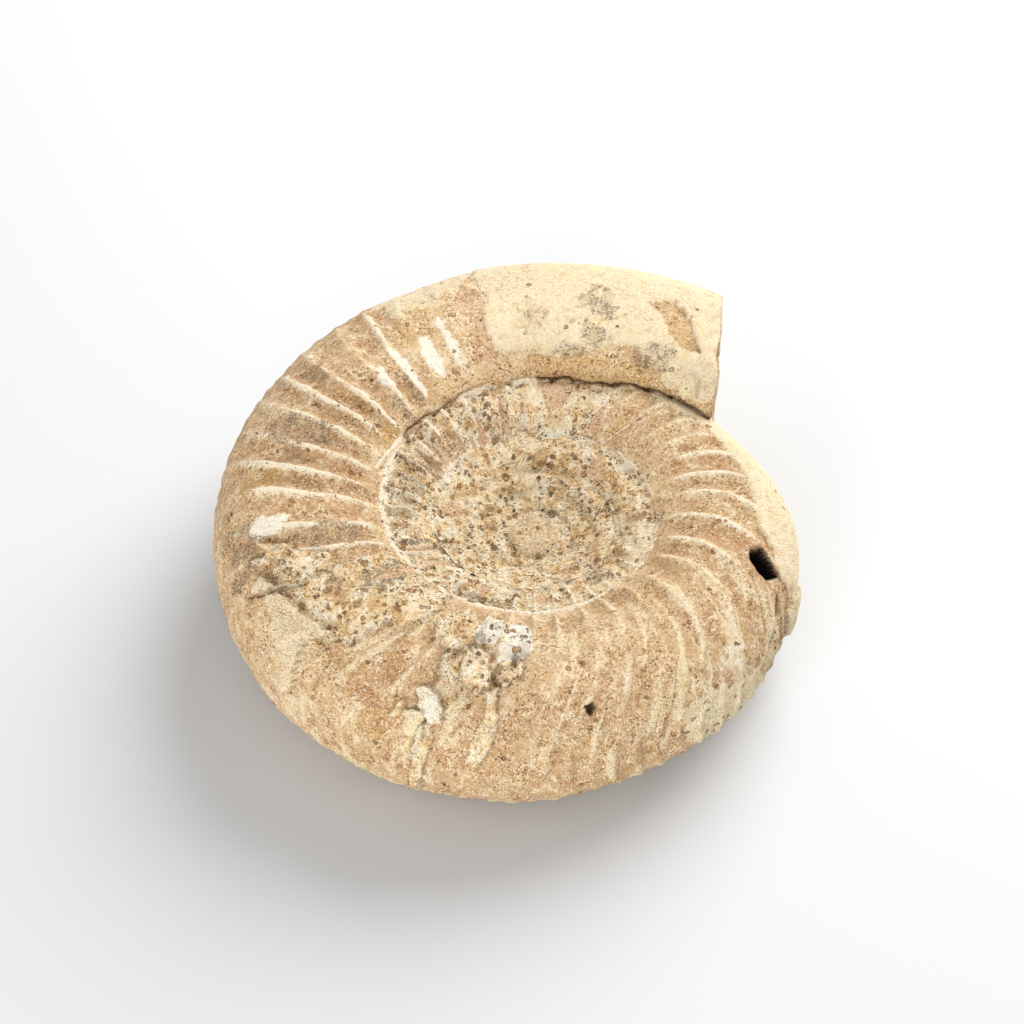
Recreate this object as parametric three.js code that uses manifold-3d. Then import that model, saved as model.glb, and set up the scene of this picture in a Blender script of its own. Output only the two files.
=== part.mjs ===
// An ammonite fossil: one coiled, ribbed shell turned to stone, lying on its side.
//
// The shell is a tube that winds round an axis and widens by the same factor on every turn.
// Angles along the coil are counted back from the mouth. Angles around the tube are counted
// from its outer edge: 90 degrees is the side that faces up, 180 the side that faces the axis.
import * as THREE from 'three';
import { mergeVertices } from 'three/addons/utils/BufferGeometryUtils.js';
import Module from 'manifold-3d';

const wasm = await Module();
wasm.setup();

const { clamp, degToRad, lerp, smoothstep } = THREE.MathUtils;

// Coil and tube. Lengths are in millimetres and angles in degrees. A share is of the distance
// from the coil's axis to its outer edge at that place.
const MOUTH_RADIUS = 67.9;
const GROWTH_PER_TURN = 1.47;
const MOUTH_DIRECTION = 60;
const HALF_WIDTH_SHARE = 0.3;
const HALF_HEIGHT_SHARE = 0.297;
const SECTION_POWER = 2.3;

// The tube starts past the mouth, so that the broken face can be cut through it.
const COIL_START = -52;
const SMOOTH_START = 44;
const INNER_RIBS_END = 720;
const COIL_END = 1800;
const SMOOTH_STEP = 9;
const WORN_STEP = 15;
const PIECE_LENGTH = 170;

// Points around the tube. The side against the turn inside is hidden, so one point does there.
const SEAM_ANGLE = 150;
const SECTION_STEP = 15;

// Ribs: the places of the crests on the last turn, measured on the side of the tube, and the
// even spacing of those on the turn inside it. They sweep forwards towards the outer edge.
const RIB_CRESTS = [
  53, 62, 69, 76, 85, 92, 99, 107.5, 115.5, 123, 134, 142, 151, 163, 170, 179, 186,
  194, 201, 209, 217, 227, 236, 246, 256, 268, 278, 290, 301, 310, 319, 327, 335, 345,
];
const INNER_RIB_SPACING = 9;
const RIB_LEAN = 14;
const RIB_SHARE = 0.011;

// Ribs rise over this stretch of the tube's width, counted from the axis outwards, and are
// down to the least height at its outer edge. Along the coil they fade over these angles.
const RIB_RISE = { from: 0.15, full: 0.45 };
const RIB_FALL = { from: 0.75, none: 1.05, least: 0.25 };
const RIB_FIRST_FADE = 6;
const RIB_LAST_FADE = 90;

// Near the mouth the tube lifts off the turn inside it, so its inner edge draws outwards.
const LIFT_START = 5;
const LIFT_PER_DEGREE = 0.0148;
const LEAST_LIFT_WIDTH = 0.3;

// Where the shell has broken back, the turn inside shows an outer edge that was once covered.
const BARE_EDGE = { from: 295, full: 340, end: 420, share: 0.095 };
const WORN_EDGE = { at: 236, spread: 17, share: 0.018 };

// The mouth is one rough upright break. It passes through this point and faces this way.
const BREAK_POINT = new THREE.Vector3(34.6, 34, 0);
const BREAK_FACING = -6;

// A natural pit in the outer side of the shell.
const PIT = { back: 280, around: 55, mouth: 2.2, floor: 1.1, depth: 6, stretch: 1.3, sides: 9 };

const NUCLEUS = { radius: 5.6, halfHeight: 3.1, sides: 16, bands: 10 };

// The shell leans until its lower side touches, and worn flats there let it lie still.
const LEAN_ABOUT_X = 2.35;
const LEAN_ABOUT_Y = -0.6;
const REST_WEAR = 0.9;

// A cutting block is larger than the whole fossil.
const CUTTER_SIZE = 200;

const GROWTH = Math.log(GROWTH_PER_TURN) / 360;

function coilRadius(back) {
  return MOUTH_RADIUS * Math.exp(-GROWTH * back);
}

function signedPower(value, power) {
  return Math.sign(value) * Math.abs(value) ** power;
}

// Ribs are strongest on the sides, fade towards the axis and are low over the outer edge.
function ribHeight(back, outwards) {
  const rise = clamp((outwards - RIB_RISE.from) / (RIB_RISE.full - RIB_RISE.from), 0, 1);
  const left = (RIB_FALL.none - outwards) / (RIB_FALL.none - RIB_FALL.from);
  const fall = clamp(left, RIB_FALL.least, 1);
  const first = smoothstep(back, SMOOTH_START, SMOOTH_START + RIB_FIRST_FADE);
  const last = 1 - smoothstep(back, INNER_RIBS_END - RIB_LAST_FADE, INNER_RIBS_END);
  return RIB_SHARE * rise * fall * first * last;
}

function lostFromOuterEdge(back) {
  const { from, full, end, share } = BARE_EDGE;
  const bare = back < end ? share * smoothstep(back, from, full) : 0;
  const worn = WORN_EDGE.share * Math.exp(-(((back - WORN_EDGE.at) / WORN_EDGE.spread) ** 2));
  return bare + worn;
}

function innerWidth(back) {
  return clamp(1 - LIFT_PER_DEGREE * (LIFT_START - back), LEAST_LIFT_WIDTH, 1);
}

// How far out a point of the tube lies: 0 next to the axis, 1 on the outer edge.
function outwardShare(around) {
  return (signedPower(Math.cos(degToRad(around)), 2 / SECTION_POWER) + 1) / 2;
}

// A point of the shell. wave is 1 on a rib's crest, -1 in a trough and 0 where it is smooth.
function shellPoint(back, around, wave) {
  const outwards = outwardShare(around);
  const across = 2 * outwards - 1;
  const along = signedPower(Math.sin(degToRad(around)), 2 / SECTION_POWER);
  const radius = coilRadius(back);
  const rib = wave * ribHeight(back, outwards);
  const width = (HALF_WIDTH_SHARE + rib) * across;
  const offset = across > 0 ? width - lostFromOuterEdge(back) * across : width * innerWidth(back);
  const distance = radius * (1 - HALF_WIDTH_SHARE + offset);
  const turn = degToRad(MOUTH_DIRECTION + back);
  const height = radius * (HALF_HEIGHT_SHARE + rib) * along;
  return new THREE.Vector3(distance * Math.cos(turn), distance * Math.sin(turn), height);
}

// A ring of points follows a rib, which sweeps forwards from the side to the outer edge.
function ringPoints({ place, wave }, around) {
  return around.map((angle) => {
    const sweep = RIB_LEAN * (outwardShare(angle) ** 2 - outwardShare(90) ** 2);
    return shellPoint(place - sweep, angle, wave);
  });
}

function evenSteps(from, to, step) {
  const count = Math.round((to - from) / step);
  return Array.from({ length: count }, (_, i) => lerp(from, to, i / count));
}

function plainRing(place) {
  return { place, wave: 0 };
}

// The rings of points along the tube: one on each crest, one in each trough, and plain ones.
function ringList() {
  const smooth = evenSteps(COIL_START, SMOOTH_START, SMOOTH_STEP);
  const lastOuter = RIB_CRESTS[RIB_CRESTS.length - 1];
  const inner = evenSteps(lastOuter + INNER_RIB_SPACING, INNER_RIBS_END, INNER_RIB_SPACING);
  const crests = [...RIB_CRESTS, ...inner];
  const ribbed = [];
  let before = SMOOTH_START;
  for (const crest of crests) {
    ribbed.push({ place: (before + crest) / 2, wave: -1 });
    ribbed.push({ place: crest, wave: 1 });
    before = crest;
  }
  const worn = evenSteps(INNER_RIBS_END, COIL_END, WORN_STEP);
  return [...smooth.map(plainRing), ...ribbed, ...[...worn, COIL_END].map(plainRing)];
}

function sectionAngles() {
  const count = Math.round((2 * SEAM_ANGLE) / SECTION_STEP);
  const angles = Array.from({ length: count + 1 }, (_, i) => lerp(-SEAM_ANGLE, SEAM_ANGLE, i / count));
  return [...angles, 180];
}

// A closed solid from rings of points, with a fan over each end.
function solidFromRings(rings) {
  const size = rings[0].length;
  const points = rings.flat();
  const faces = [];
  for (let r = 0; r < rings.length - 1; r += 1) {
    for (let i = 0; i < size; i += 1) {
      const next = (i + 1) % size;
      const [a, b] = [r * size + i, r * size + next];
      const [c, d] = [a + size, b + size];
      faces.push(a, d, b, a, c, d);
    }
  }
  for (const end of [0, rings.length - 1]) {
    const middle = points.length;
    const total = rings[end].reduce((sum, point) => sum.add(point), new THREE.Vector3());
    points.push(total.divideScalar(size));
    for (let i = 0; i < size; i += 1) {
      const [a, b] = [end * size + i, end * size + ((i + 1) % size)];
      faces.push(middle, ...(end === 0 ? [a, b] : [b, a]));
    }
  }
  const positions = points.flatMap((point) => point.toArray());
  return new wasm.Manifold(new wasm.Mesh({
    numProp: 3,
    vertProperties: Float32Array.from(positions),
    triVerts: Uint32Array.from(faces),
  }));
}

function solidFromGeometry(geometry) {
  geometry.deleteAttribute('normal');
  geometry.deleteAttribute('uv');
  const merged = mergeVertices(geometry);
  return new wasm.Manifold(new wasm.Mesh({
    numProp: 3,
    vertProperties: Float32Array.from(merged.attributes.position.array),
    triVerts: Uint32Array.from(merged.index.array),
  }));
}

// The tube is joined from pieces of less than half a turn, so that none runs into itself.
function tubePieces() {
  const around = sectionAngles();
  const rings = ringList();
  const pieces = [];
  let first = 0;
  while (first < rings.length - 1) {
    let last = first + 1;
    while (last < rings.length - 1 && rings[last].place - rings[first].place < PIECE_LENGTH) {
      last += 1;
    }
    const part = rings.slice(first, last + 1);
    pieces.push(solidFromRings(part.map((ring) => ringPoints(ring, around))));
    first = last;
  }
  return pieces;
}

// Everything on the far side of the break, so that the mouth is one flat face.
function mouthCutter() {
  const cutter = new THREE.BoxGeometry(CUTTER_SIZE, CUTTER_SIZE, CUTTER_SIZE);
  cutter.translate(CUTTER_SIZE / 2, 0, 0);
  cutter.rotateZ(degToRad(BREAK_FACING));
  cutter.translate(BREAK_POINT.x, BREAK_POINT.y, BREAK_POINT.z);
  return solidFromGeometry(cutter);
}

// A flattened ball closes the middle of the coil, where the first turns have worn away.
function nucleus() {
  const ball = new THREE.SphereGeometry(NUCLEUS.radius, NUCLEUS.sides, NUCLEUS.bands);
  ball.rotateX(Math.PI / 2);
  ball.scale(1, 1, NUCLEUS.halfHeight / NUCLEUS.radius);
  return solidFromGeometry(ball);
}

// A tapered plug, turned to point into the shell and stretched along the coil.
function pitCutter() {
  const profile = [
    new THREE.Vector2(0, -PIT.depth),
    new THREE.Vector2(PIT.floor, -PIT.depth),
    new THREE.Vector2(PIT.mouth, PIT.depth / 2),
    new THREE.Vector2(0, PIT.depth / 2),
  ];
  const plug = new THREE.LatheGeometry(profile, PIT.sides);
  plug.scale(PIT.stretch, 1, 1);
  const place = shellPoint(PIT.back, PIT.around, 0);
  const turn = degToRad(MOUTH_DIRECTION + PIT.back);
  const middle = coilRadius(PIT.back) * (1 - HALF_WIDTH_SHARE);
  const core = new THREE.Vector3(middle * Math.cos(turn), middle * Math.sin(turn), 0);
  const outwards = place.clone().sub(core).normalize();
  const alongCoil = new THREE.Vector3(-Math.sin(turn), Math.cos(turn), 0);
  const third = new THREE.Vector3().crossVectors(alongCoil, outwards).normalize();
  const placed = new THREE.Matrix4().makeBasis(alongCoil, outwards, third).setPosition(place);
  plug.applyMatrix4(placed);
  return solidFromGeometry(plug);
}

function geometryFromSolid(solid) {
  const mesh = solid.getMesh();
  const geometry = new THREE.BufferGeometry();
  geometry.setAttribute('position', new THREE.BufferAttribute(mesh.vertProperties, 3));
  geometry.setIndex(new THREE.BufferAttribute(mesh.triVerts, 1));
  geometry.deleteAttribute('normal');
  return geometry;
}

// The floor under the leaning shell takes off its lowest points.
function restCutter(lowest) {
  const slab = new THREE.BoxGeometry(CUTTER_SIZE, CUTTER_SIZE, CUTTER_SIZE);
  slab.translate(0, 0, lowest + REST_WEAR - CUTTER_SIZE / 2);
  return solidFromGeometry(slab);
}

function ammoniteGeometry() {
  const [mouthPiece, ...others] = tubePieces();
  let shell = mouthPiece.subtract(mouthCutter());
  for (const piece of others) {
    shell = shell.add(piece);
  }
  shell = shell.add(nucleus()).subtract(pitCutter());

  const leaning = geometryFromSolid(shell);
  leaning.rotateX(degToRad(LEAN_ABOUT_X));
  leaning.rotateY(degToRad(LEAN_ABOUT_Y));
  leaning.computeBoundingBox();
  const resting = solidFromGeometry(leaning).subtract(restCutter(leaning.boundingBox.min.z));

  const geometry = geometryFromSolid(resting);
  geometry.computeBoundingBox();
  const { min, max } = geometry.boundingBox;
  geometry.translate(-(min.x + max.x) / 2, -(min.y + max.y) / 2, -min.z);
  return geometry;
}

const limestone = new THREE.MeshStandardMaterial({
  name: 'fossil_limestone',
  color: new THREE.Color(0xd9be9b),
  roughness: 0.85,
  metalness: 0,
});

const ammonite = new THREE.Mesh(ammoniteGeometry(), limestone);
ammonite.name = 'ammonite';

const fossil = new THREE.Group();
fossil.add(ammonite);

export default fossil;
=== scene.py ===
"""An ammonite fossil in pale oolitic limestone, lying on its side on a white floor."""
import math

import bpy
import numpy as np
from mathutils import Matrix, Vector, geometry


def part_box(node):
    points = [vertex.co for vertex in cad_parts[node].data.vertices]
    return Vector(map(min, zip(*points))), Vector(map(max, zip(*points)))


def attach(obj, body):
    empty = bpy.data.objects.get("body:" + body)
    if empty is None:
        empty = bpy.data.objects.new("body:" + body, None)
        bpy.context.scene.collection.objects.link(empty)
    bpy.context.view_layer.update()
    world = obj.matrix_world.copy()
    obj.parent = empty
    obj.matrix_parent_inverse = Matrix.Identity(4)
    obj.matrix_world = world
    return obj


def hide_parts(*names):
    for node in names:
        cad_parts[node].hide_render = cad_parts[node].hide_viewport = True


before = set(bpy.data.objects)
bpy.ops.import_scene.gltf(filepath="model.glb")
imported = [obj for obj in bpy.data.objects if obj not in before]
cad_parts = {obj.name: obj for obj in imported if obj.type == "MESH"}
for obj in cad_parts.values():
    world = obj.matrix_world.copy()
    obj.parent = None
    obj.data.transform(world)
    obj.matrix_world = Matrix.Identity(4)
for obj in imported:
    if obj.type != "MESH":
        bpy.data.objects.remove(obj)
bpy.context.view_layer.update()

MM = 0.001

# The coil, as in the CAD solid. Angles along the coil ("back") are in degrees back from the mouth,
# and angles around the tube ("around") are in degrees from its outer edge, 90 on top and -90
# below. A share is of the distance from the coil's axis to its outer edge at that place.
MOUTH_SHARE_OF_LENGTH = 0.565
GROWTH_PER_TURN = 1.47
MOUTH_DIRECTION = 60.0
HALF_WIDTH = 0.3
HALF_HEIGHT = 0.297
SECTION_POWER = 2.3
LEAN_ABOUT_X, LEAN_ABOUT_Y = 2.35, -0.6

# The broken face of the mouth goes through a point, in mouth radii from the axis, and is rough.
BREAK_POINT = np.array([0.5096, 0.5007])
BREAK_FACING = math.radians(-6)
BREAK_NORMAL = np.array([math.cos(BREAK_FACING), math.sin(BREAK_FACING), 0.0])
BREAK_ROUGHNESS, BREAK_LUMP = 0.5 * MM, 7.0 * MM

# Where the next turn used to cover the tube, its outer edge gets narrower from the first place
# back to the second, and around another place wear takes some off. Near the mouth the tube lifts
# off the turn inside it.
OUTER_TURN_END = 420.0
COVERED_BACK, COVERED_LOSS = (295.0, 340.0), 0.095
WORN_BACK, WORN_SPREAD, WORN_LOSS = 236.0, 17.0, 0.018
LIFT_START, LIFT_PER_DEGREE, LEAST_LIFTED = 5.0, 0.0148, 0.3

# The mesh: columns along the coil, and rows across the upper and the lower side of the tube, first
# on its free flank and then on the part that faces the turn inside it.
COLUMNS = 1000
TURNS = 4.7
TOP_ROWS = (84, 56)
BOTTOM_ROWS = (34, 16)
MOST_TRIANGLES = 196_000
TALLEST_LUMP = 2.5 * MM
REST_WEAR = 0.9 * MM

# The patches that close it have points about a grain apart, a little out of line, and none
# closer to the edge than a share of a grain.
BREAK_GRAIN, NUCLEUS_GRAIN = 0.6 * MM, 0.35 * MM
SPOT_JITTER, EDGE_MARGIN = 0.25, 0.7
NUCLEUS_DOME, NUCLEUS_AROUND = 2.9 * MM, 120.0

# The columns slide along the coil to follow the broken face. These are the places back between
# which the break is looked for, and the share of a turn over which the slide fades out or in.
MOUTH_BREAK, MOUTH_SLIDE_END = (-60.0, 40.0), 0.11
BARE_BREAK, BARE_SLIDE_START = (290.0, 375.0), 0.93
SEAM_SEARCH = (92.0, 178.0)
CORNER_SEARCH = (-45.0, 10.0)
ROW_CROWDING = 0.1
NO_SEAM_NEAR = 90.0

GROWTH = math.log(GROWTH_PER_TURN) / 360.0
box_low, box_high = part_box("ammonite")
mouth_radius = MOUTH_SHARE_OF_LENGTH * (box_high.y - box_low.y)


# ---- numbers and noise

def rise(value, low, high):
    """Goes smoothly from 0 to 1 while value goes from low to high."""
    t = np.clip((value - low) / (high - low), 0.0, 1.0)
    return t * t * (3.0 - 2.0 * t)


def fall(value, low, high):
    """Goes smoothly from 1 to 0 while value goes from low to high."""
    return 1.0 - rise(value, low, high)


def signed_power(value, power):
    return np.sign(value) * np.abs(value) ** power


def scramble(x, y, z, seed):
    """A repeatable number from 0 to 1 for each whole-number cell."""
    with np.errstate(over="ignore"):
        h = x.astype(np.uint64) * np.uint64(0x9E3779B97F4A7C15)
        h ^= y.astype(np.uint64) * np.uint64(0xC2B2AE3D27D4EB4F)
        h ^= z.astype(np.uint64) * np.uint64(0x165667B19E3779F9)
        h += np.uint64(seed * 7919 + 17)
        h ^= h >> np.uint64(31)
        h *= np.uint64(0xBF58476D1CE4E5B9)
        h ^= h >> np.uint64(29)
        h *= np.uint64(0x94D049BB133111EB)
        h ^= h >> np.uint64(32)
    return (h >> np.uint64(11)).astype(np.float64) / float(1 << 53)


def noise(points, size, seed):
    """Smooth noise from -1 to 1, with lumps about size across."""
    place = points / size + 1000.0
    cell = np.floor(place).astype(np.int64)
    t = place - cell
    t = t * t * (3.0 - 2.0 * t)
    total = np.zeros(len(points))
    for corner in range(8):
        step = np.array([corner & 1, corner >> 1 & 1, corner >> 2 & 1])
        weight = np.prod(np.where(step, t, 1.0 - t), axis=1)
        at = cell + step
        total += weight * scramble(at[:, 0], at[:, 1], at[:, 2], seed)
    return total * 2.0 - 1.0


def rough_noise(points, size, seed, octaves=3):
    """Noise with finer and weaker noise added to it."""
    total = np.zeros(len(points))
    for octave in range(octaves):
        total += noise(points, size / 2.1 ** octave, seed + octave * 31) / 1.8 ** octave
    return total


def grain_bumps(points, size, seed):
    """Round grains: 1 in the middle of a grain and 0 between grains, and each grain's number."""
    place = points / size + 1000.0
    cell = np.floor(place).astype(np.int64)
    nearest = np.full(len(points), 9.0)
    number = np.zeros(len(points))
    for index in range(27):
        at = cell + np.array([index % 3 - 1, index // 3 % 3 - 1, index // 9 - 1])
        jitter = [scramble(at[:, 0], at[:, 1], at[:, 2], seed + k) for k in range(3)]
        gap = np.linalg.norm(at + np.stack(jitter, 1) - place, axis=1)
        closer = gap < nearest
        nearest = np.where(closer, gap, nearest)
        number = np.where(closer, scramble(at[:, 0], at[:, 1], at[:, 2], seed + 9), number)
    return np.clip(1.0 - nearest / 0.55, 0.0, 1.0), number


# ---- the coiled tube

def coil_radius(back):
    return mouth_radius * np.exp(-GROWTH * back)


def outer_width(back):
    """Half the tube's width outside its core, where the covered edge and wear take some off."""
    bare = np.where(back < OUTER_TURN_END, COVERED_LOSS * rise(back, *COVERED_BACK), 0.0)
    worn = WORN_LOSS * np.exp(-((back - WORN_BACK) / WORN_SPREAD) ** 2)
    return HALF_WIDTH - bare - worn


def inner_width(back):
    """Half its width inside the core. Near the mouth the tube lifts off the turn inside it."""
    return HALF_WIDTH * np.clip(1.0 - LIFT_PER_DEGREE * (LIFT_START - back), LEAST_LIFTED, 1.0)


def shell_point(back, around):
    """The smooth tube's surface, before wear and ribs."""
    angle = np.radians(around)
    across = signed_power(np.cos(angle), 2.0 / SECTION_POWER)
    along = signed_power(np.sin(angle), 2.0 / SECTION_POWER)
    radius = coil_radius(back)
    width = np.where(across > 0.0, outer_width(back), inner_width(back))
    distance = radius * (1.0 - HALF_WIDTH + width * across)
    turn = np.radians(MOUTH_DIRECTION + back)
    height = radius * HALF_HEIGHT * along
    return np.stack([distance * np.cos(turn), distance * np.sin(turn), height], -1)


def section_place(points, back):
    """Where points lie in the tube's section at back: (across, along), both 1 at its surface."""
    radius = coil_radius(back)
    off = np.hypot(points[..., 0], points[..., 1]) / radius - (1.0 - HALF_WIDTH)
    across = off / np.where(off > 0.0, outer_width(back), inner_width(back))
    return across, points[..., 2] / (radius * HALF_HEIGHT)


def halve(low, high, is_past):
    """Finds where is_past changes from false to true, for many places at once."""
    for _ in range(40):
        middle = (low + high) / 2.0
        past = is_past(middle)
        high = np.where(past, middle, high)
        low = np.where(past, low, middle)
    return (low + high) / 2.0


def seam_angle(back):
    """Where the tube's inner side meets the turn inside it."""
    def inside(around):
        across, along = section_place(shell_point(back, around), back + 360.0)
        return np.abs(across) ** SECTION_POWER + np.abs(along) ** SECTION_POWER < 1.0
    nearest, furthest = SEAM_SEARCH
    return halve(np.full_like(back, nearest), np.full_like(back, furthest), inside)


def covered_angle(back, seam):
    """The same seam as seen on the turn inside, as an angle around that tube."""
    across, along = section_place(shell_point(back, seam), back + 360.0)
    half = SECTION_POWER / 2.0
    return np.degrees(np.arctan2(signed_power(along, half), signed_power(across, half)))


def past_break(points):
    """How far points lie beyond the mouth's rough broken face."""
    start = np.append(BREAK_POINT * mouth_radius, 0.0)
    flat = points.reshape(-1, 3)
    rough = BREAK_ROUGHNESS * rough_noise(flat * [0.0, 1.0, 1.0], BREAK_LUMP, 5)
    return ((flat - start) @ BREAK_NORMAL + rough).reshape(points.shape[:-1])


def break_place(around, nearest, furthest):
    """Where along the coil the break crosses the tube, for each angle around it."""
    low, high = np.full(around.shape, nearest), np.full(around.shape, furthest)
    if past_break(shell_point(high, around)).mean() > 0.0:
        return halve(low, high, lambda back: past_break(shell_point(back, around)) > 0.0)
    return halve(low, high, lambda back: past_break(shell_point(back, around)) < 0.0)


# ---- the mesh, before wear

# Each row is a point with where it lies: x, y, z, back, around, gap to a seam, back of the seam.
mesh_rows, mesh_faces = [], []


def count_points():
    return sum(len(block) for block in mesh_rows)


def point_places(ids):
    return np.concatenate(mesh_rows)[ids, :3]


def add_points(points, backs, arounds, gaps=NO_SEAM_NEAR, seams=0.0):
    """Adds points to the mesh and returns their numbers."""
    first = count_points()
    block = np.empty((len(points), 7))
    block[:, :3] = points
    for column, values in enumerate((backs, arounds, gaps, seams), 3):
        block[:, column] = values
    mesh_rows.append(block)
    return first + np.arange(len(block))


def seam_corner():
    """How far back the break meets the seam."""
    def behind(back):
        return past_break(shell_point(back, seam_angle(back))) < 0.0
    nearest, furthest = CORNER_SEARCH
    return float(halve(np.array([nearest]), np.array([furthest]), behind)[0])


def strip_grid(rows):
    """The columns and rows of one side of the coil: degrees back and around for each point, and
    where each column's rows start and where they meet the turn inside it."""
    outer_rows, inner_rows = rows
    last = int(TURNS * COLUMNS)
    back = first_back + np.arange(last + 1) * 360.0 / COLUMNS
    seam = seam_angle(back)
    start = np.empty(last + 1)
    start[COLUMNS:] = covered_angle(back[:-COLUMNS], seam[:-COLUMNS])
    start[:COLUMNS] = start[COLUMNS]
    row = np.arange(outer_rows + inner_rows + 1)
    around = np.empty((last + 1, len(row)))
    around[:, :outer_rows + 1] = start[:, None] * row[None, :outer_rows + 1] / outer_rows
    inner_share = (row[outer_rows:] - outer_rows) / inner_rows
    inner_share = inner_share - ROW_CROWDING * np.sin(2.0 * math.pi * inner_share)
    around[:, outer_rows:] = start[:, None] + (seam - start)[:, None] * inner_share[None, :]
    return np.repeat(back[:, None], len(row), axis=1), around, start, seam


def follow_break(backs, around, side, outer_rows):
    """Slides the columns at the mouth, and those a turn on that it leaves bare, to the break."""
    mouth_back, bare_back = backs[0, 0], backs[COLUMNS, 0]
    share = np.arange(COLUMNS + 1) / COLUMNS
    slide = break_place(side * around[0], *MOUTH_BREAK) - mouth_back
    slide[-1] = 0.0
    fade = fall(share, 0.0, MOUTH_SLIDE_END)
    backs[:COLUMNS + 1] += fade[:, None] * slide[None, :]
    slide = break_place(side * around[COLUMNS, :outer_rows + 1], *BARE_BREAK) - bare_back
    slide[-1] = 0.0
    fade = rise(share, BARE_SLIDE_START, 1.0)
    backs[:COLUMNS + 1, :outer_rows + 1] += fade[:, None] * slide[None, :]


def number_strip(backs, around, start, seam, side, outer_rows, edge_ids):
    """Adds the strip's points, and shares its inner edge with the strip one turn on."""
    own = np.zeros(backs.shape, bool)
    own[:COLUMNS + 1] = True
    own[COLUMNS:, outer_rows:] = True
    own[COLUMNS:, outer_rows] = False
    if edge_ids is not None:
        own[:COLUMNS + 1, 0] = False
    gap = seam[:, None] - around
    outer_gap = around - start[:, None]
    outer_gap[:COLUMNS] = NO_SEAM_NEAR
    seam_at = np.where(gap < outer_gap, backs, backs - 360.0)[own]
    gap = np.minimum(gap, outer_gap)[own]
    turned = side * around[own]
    ids = np.full(backs.shape, -1)
    ids[own] = add_points(shell_point(backs[own], turned), backs[own], turned, gap, seam_at)
    if edge_ids is not None:
        ids[:COLUMNS + 1, 0] = edge_ids
    for column in range(COLUMNS, len(ids)):
        ids[column, outer_rows] = ids[column - COLUMNS, -1]
    return ids


def add_strip_faces(ids, side, outer_rows):
    last = len(ids) - 1
    for columns, first_row in ((slice(0, COLUMNS), 0), (slice(COLUMNS, last), outer_rows)):
        a = ids[columns, first_row:-1]
        b = ids[columns.start + 1:columns.stop + 1, first_row:-1]
        c = ids[columns.start + 1:columns.stop + 1, first_row + 1:]
        d = ids[columns, first_row + 1:]
        quads = np.stack([a, b, c, d], -1).reshape(-1, 4)
        quads = quads if side > 0 else quads[:, ::-1]
        mesh_faces.append(np.concatenate([quads[:, [0, 1, 2]], quads[:, [0, 2, 3]]]))


def side_of_coil(side, rows, edge_ids):
    """The upper (side 1) or lower (side -1) half: one strip whose inner edge is the outer edge
    of the strip one turn on. Returns the grid of point numbers."""
    outer_rows = rows[0]
    backs, around, start, seam = strip_grid(rows)
    follow_break(backs, around, side, outer_rows)
    ids = number_strip(backs, around, start, seam, side, outer_rows, edge_ids)
    add_strip_faces(ids, side, outer_rows)
    return ids


def inside_outline(spots, outline):
    """Which flat spots lie inside a closed outline."""
    result = np.zeros(len(spots), bool)
    ahead = np.roll(outline, -1, axis=0)
    for (x0, y0), (x1, y1) in zip(outline, ahead):
        crosses = (y0 > spots[:, 1]) != (y1 > spots[:, 1])
        at = x0 + (spots[:, 1] - y0) * (x1 - x0) / (y1 - y0 if y1 != y0 else 1.0)
        result ^= crosses & (spots[:, 0] < at)
    return result


def fill_outline(flat, grain, seed):
    """Triangles over a closed flat outline, with new spots about a grain apart inside it.
    Returns the faces as numbers into outline + new spots, and the new spots."""
    low, high = flat.min(0), flat.max(0)
    steps = np.ceil((high - low) / grain).astype(int)
    grid = np.stack(np.meshgrid(*[np.arange(n) for n in steps], indexing="ij"), -1).reshape(-1, 2)
    jitter = np.random.default_rng(seed).uniform(-SPOT_JITTER, SPOT_JITTER, grid.shape)
    spots = low + (grid + jitter + 0.5) * grain
    spots = spots[inside_outline(spots, flat)]
    gap = np.min(np.linalg.norm(spots[:, None, :] - flat[None, ::3, :], axis=2), axis=1)
    spots = spots[gap > EDGE_MARGIN * grain]
    everything = [Vector(p) for p in np.concatenate([flat, spots])]
    edges = [(k, (k + 1) % len(flat)) for k in range(len(flat))]
    made = geometry.delaunay_2d_cdt(everything, edges, [list(range(len(flat)))], 1, 1e-9)
    source = [members[0] for members in made[3]]
    faces = np.array([[source[k] for k in face] for face in made[2]])
    return faces, spots


def add_patch(loop, flat, grain, seed, place, backs, arounds, facing):
    """Closes a loop with a patch. place turns flat spots into points, facing is its outer side."""
    faces, spots = fill_outline(flat, grain, seed)
    new_ids = add_points(place(spots), backs, arounds)
    numbers = np.concatenate([loop, new_ids])
    faces = numbers[faces]
    corners = point_places(faces)
    normals = np.cross(corners[:, 1] - corners[:, 0], corners[:, 2] - corners[:, 0])
    wrong = normals @ facing < 0.0
    faces[wrong] = faces[wrong][:, ::-1]
    mesh_faces.append(faces)


def close_mouth(top, bottom):
    """The broken face, between the last turn's end and the turn inside it."""
    (outer, _), (outer_low, _) = TOP_ROWS, BOTTOM_ROWS
    loop = np.concatenate([
        top[0, :], top[COLUMNS, :outer][::-1],
        bottom[COLUMNS, 1:outer_low], bottom[0, 1:][::-1],
    ])
    sideways = np.array([-BREAK_NORMAL[1], BREAK_NORMAL[0], 0.0])
    points = point_places(loop)
    flat = np.stack([points @ sideways, points[:, 2]], 1)
    start = np.append(BREAK_POINT * mouth_radius, 0.0)

    def place(spots):
        points = spots[:, :1] * sideways + (start @ BREAK_NORMAL) * BREAK_NORMAL
        points = points + spots[:, 1:] * np.array([0.0, 0.0, 1.0])
        return points - past_break(points)[:, None] * BREAK_NORMAL

    add_patch(loop, flat, BREAK_GRAIN, 11, place, 0.0, 0.0, BREAK_NORMAL)


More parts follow.
